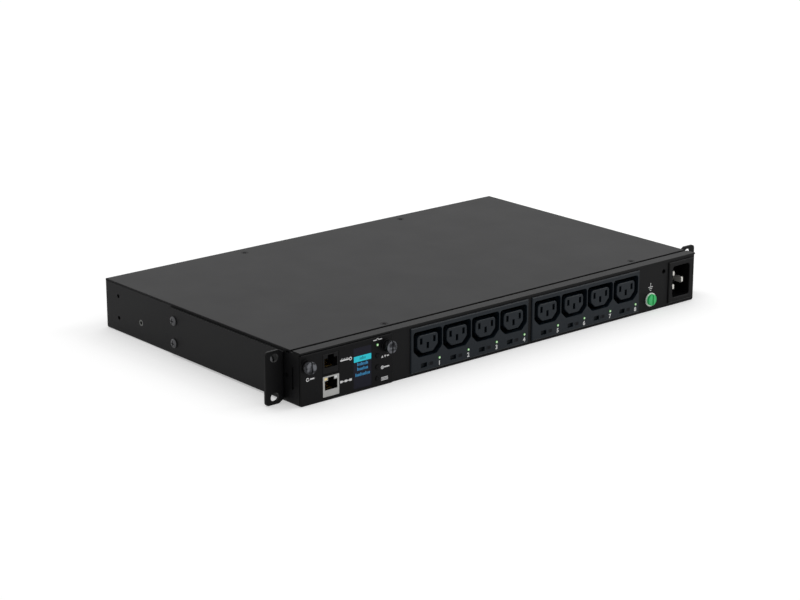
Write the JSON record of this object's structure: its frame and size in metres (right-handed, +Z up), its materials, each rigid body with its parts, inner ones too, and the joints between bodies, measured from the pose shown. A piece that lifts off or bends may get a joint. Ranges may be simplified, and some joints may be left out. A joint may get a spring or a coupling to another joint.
{
  "type": "rack power distribution unit",
  "caption": "Rack-mount power distribution unit: flat black steel enclosure with rack ears, slide-in controller with display, rows of shrouded outlets, earth screw and mains inlet",
  "frame": {"origin": "middle of the rack bolt pattern, on the rear face of the ears", "axes": "+X to the right seen from the front, +Y to the rear into the rack, +Z up"},
  "size_m": [0.4826, 0.2782, 0.0437],
  "materials": {
    "enclosure_paint": "fine-textured black powder coat on folded steel",
    "ear_paint": "fine-textured black powder coat on 2 mm steel",
    "faceplate_paint": "smooth satin black paint",
    "black_screw": "black oxide steel",
    "zinc_steel": "bright zinc-plated steel",
    "knurled_metal": "dull grey knurled metal",
    "collar_black": "matt black nylon",
    "outlet_plastic": "slate black moulded polyamide",
    "inlet_plastic": "black moulded polyamide",
    "shield_metal": "tinned sheet",
    "jack_plastic": "black moulded plastic",
    "gold_contact": "gold-plated wire",
    "display_window": "smoked clear plastic",
    "display_panel": "dark glass panel",
    "button_plastic": "grey moulded plastic",
    "light_pipe": "clear moulded acrylic",
    "link_light": "tinted clear plastic",
    "board_green": "solder-masked glass laminate",
    "chip_black": "moulded black epoxy",
    "connector_plastic": "natural nylon",
    "copper_strip": "stamped copper alloy",
    "blade_nickel": "nickel-plated brass",
    "green_screw": "green-dyed steel",
    "washer_tin": "tinned spring steel",
    "lead_brown": "brown insulation",
    "lead_blue": "blue insulation",
    "lead_earth": "green and yellow insulation",
    "cable_grey": "grey cable jacket",
    "coil_wrap": "yellow coil tape over ferrite",
    "panel_print": "white screen-printed ink",
    "capacitor_sleeve": "dark blue sleeve"
  },
  "bodies": {
    "unit": {"chassis_tray": "enclosure_paint", "top_cover": "enclosure_paint", "front_panel": "enclosure_paint", "rack_ear_left": "ear_paint", "rack_ear_right": "ear_paint", "ear_screws": "black_screw", "cover_screws": "black_screw", "panel_side_screws": "black_screw", "cover_posts": "zinc_steel", "side_inserts": "zinc_steel", "panel_nuts": "zinc_steel", "standoffs": "zinc_steel", "board_screws": "zinc_steel", "controller_faceplate": "faceplate_paint", "thumbscrew_ferrules": "black_screw", "ethernet_shield": "shield_metal", "ethernet_housing": "jack_plastic", "link_lights": "link_light", "sensor_jack": "jack_plastic", "jack_contacts": "gold_contact", "display_window": "display_window", "display_module": "display_panel", "controller_front_board": "board_green", "button_switches": "chip_black", "status_light_pipe": "light_pipe", "controller_main_board": "board_green", "controller_chips": "chip_black", "controller_plug": "connector_plastic", "board_sockets": "connector_plastic", "backplane_board": "board_green", "bay_wall": "zinc_steel", "control_cable": "cable_grey", "outlet_module_left": "outlet_plastic", "outlet_module_right": "outlet_plastic", "outlet_light_pipes": "light_pipe", "line_contacts": "copper_strip", "neutral_bar": "copper_strip", "earth_bar": "copper_strip", "inlet_body": "inlet_plastic", "inlet_blades": "blade_nickel", "earth_screw": "green_screw", "earth_washer": "washer_tin", "inlet_line_lead": "lead_brown", "inlet_neutral_lead": "lead_blue", "inlet_earth_lead": "lead_earth", "earth_bond_lead": "lead_earth", "terminal_block": "connector_plastic", "relay_board": "board_green", "supply_board": "board_green", "relays": "chip_black", "current_sensors": "chip_black", "supply_transformer": "coil_wrap", "supply_capacitors": "capacitor_sleeve"},
    "collar_left": {"thumbscrew_collar_left": "collar_black"},
    "collar_right": {"thumbscrew_collar_right": "collar_black"},
    "screw_left": {"thumbscrew_left": "knurled_metal"},
    "screw_right": {"thumbscrew_right": "knurled_metal"},
    "button_upper": {"menu_button_upper": "button_plastic"},
    "button_middle": {"menu_button_middle": "button_plastic"},
    "button_lower": {"menu_button_lower": "button_plastic"}
  },
  "joints": [
    {"name": "collar_left_slide", "type": "slide", "parent": "unit", "child": "collar_left", "axis": [0, -1, 0], "range_m": [0, 0.0035]},
    {"name": "thumbscrew_left_turn", "type": "hinge", "parent": "collar_left", "child": "screw_left", "pos_m": [-0.21605, -0.021, 0.0103], "axis": [0, -1, 0], "range_deg": [0, 1800]},
    {"name": "collar_right_slide", "type": "slide", "parent": "unit", "child": "collar_right", "axis": [0, -1, 0], "range_m": [0, 0.0035]},
    {"name": "thumbscrew_right_turn", "type": "hinge", "parent": "collar_right", "child": "screw_right", "pos_m": [-0.13545, -0.021, 0.0103], "axis": [0, -1, 0], "range_deg": [0, 1800]},
    {"name": "button_upper_press", "type": "slide", "parent": "unit", "child": "button_upper", "axis": [0, 1, 0], "range_m": [0, 0.0005], "stiffness_N_per_m": 400, "springref_m": -0.001},
    {"name": "button_middle_press", "type": "slide", "parent": "unit", "child": "button_middle", "axis": [0, 1, 0], "range_m": [0, 0.0005], "stiffness_N_per_m": 400, "springref_m": -0.001},
    {"name": "button_lower_press", "type": "slide", "parent": "unit", "child": "button_lower", "axis": [0, 1, 0], "range_m": [0, 0.0005], "stiffness_N_per_m": 400, "springref_m": -0.001}
  ],
  "couplings": [
    {"joint": "thumbscrew_left_turn", "follows": "collar_left_slide", "rad_per_m": 8976},
    {"joint": "thumbscrew_right_turn", "follows": "collar_right_slide", "rad_per_m": 8976}
  ]
}
